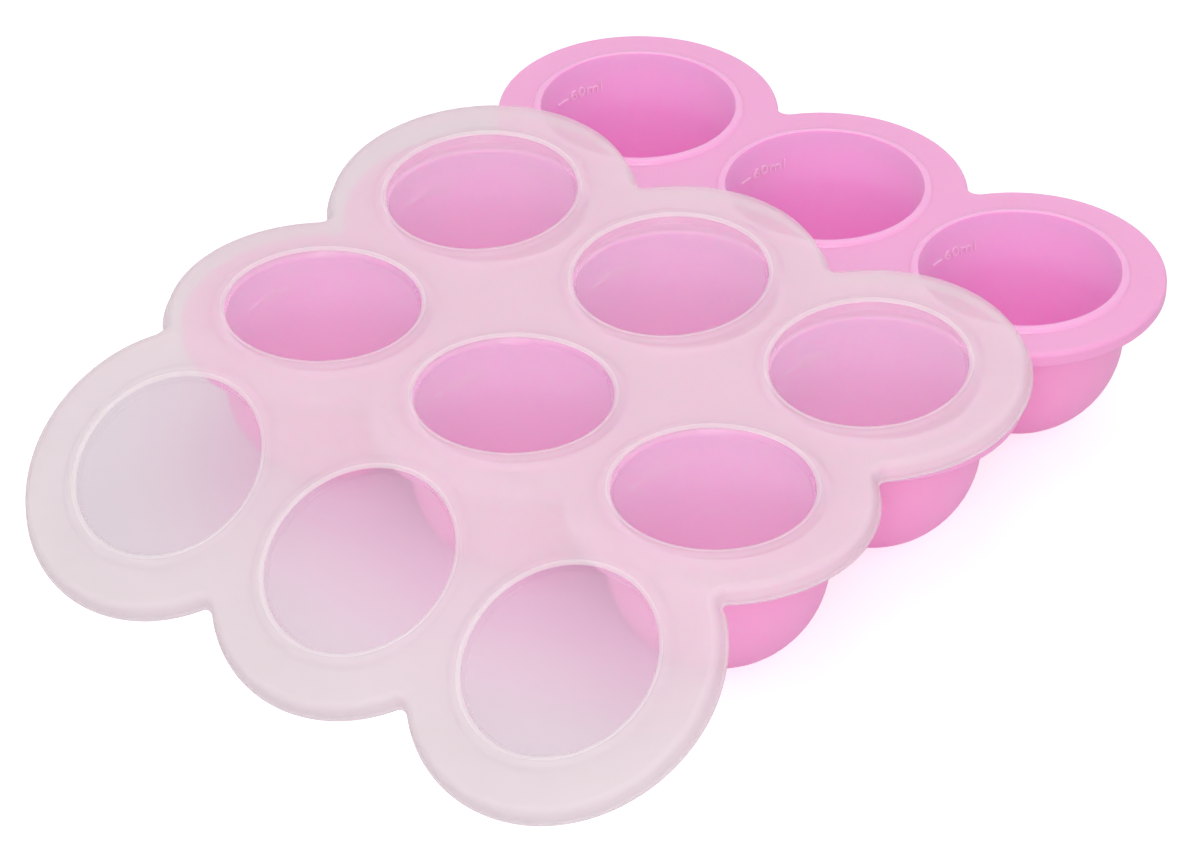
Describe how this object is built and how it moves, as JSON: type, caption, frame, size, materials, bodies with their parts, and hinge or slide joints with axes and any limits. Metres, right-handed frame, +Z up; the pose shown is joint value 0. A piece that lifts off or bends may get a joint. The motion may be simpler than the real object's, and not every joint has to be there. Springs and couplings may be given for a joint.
{
  "type": "baby food freezer tray",
  "caption": "Soft silicone freezer tray with round-bottomed portion cups and a bendy clip-on lid with clear windows, lying off to one side.",
  "frame": {"origin": "on the supporting surface, under the middle of the centre cup", "axes": "+Z up out of the cups; +X along a row of cups, away from the side that the lid hangs over; +Y along the other row, to the left of +X"},
  "size_m": [0.2664, 0.2144, 0.0549],
  "materials": {
    "silicone": "satin, moulded silicone",
    "lid_plastic": "frosted, translucent moulded plastic with clearer windows"
  },
  "bodies": {
    "tray": {"tray_flange": "silicone", "tray_cups_corner": "silicone", "tray_cups_cross": "silicone"},
    "lid": {"lid": "lid_plastic"}
  },
  "joints": [
    {"name": "lid_lift", "type": "slide", "parent": "tray", "child": "lid", "axis": [0, 0, 1], "range_m": [0, 0.08]}
  ]
}
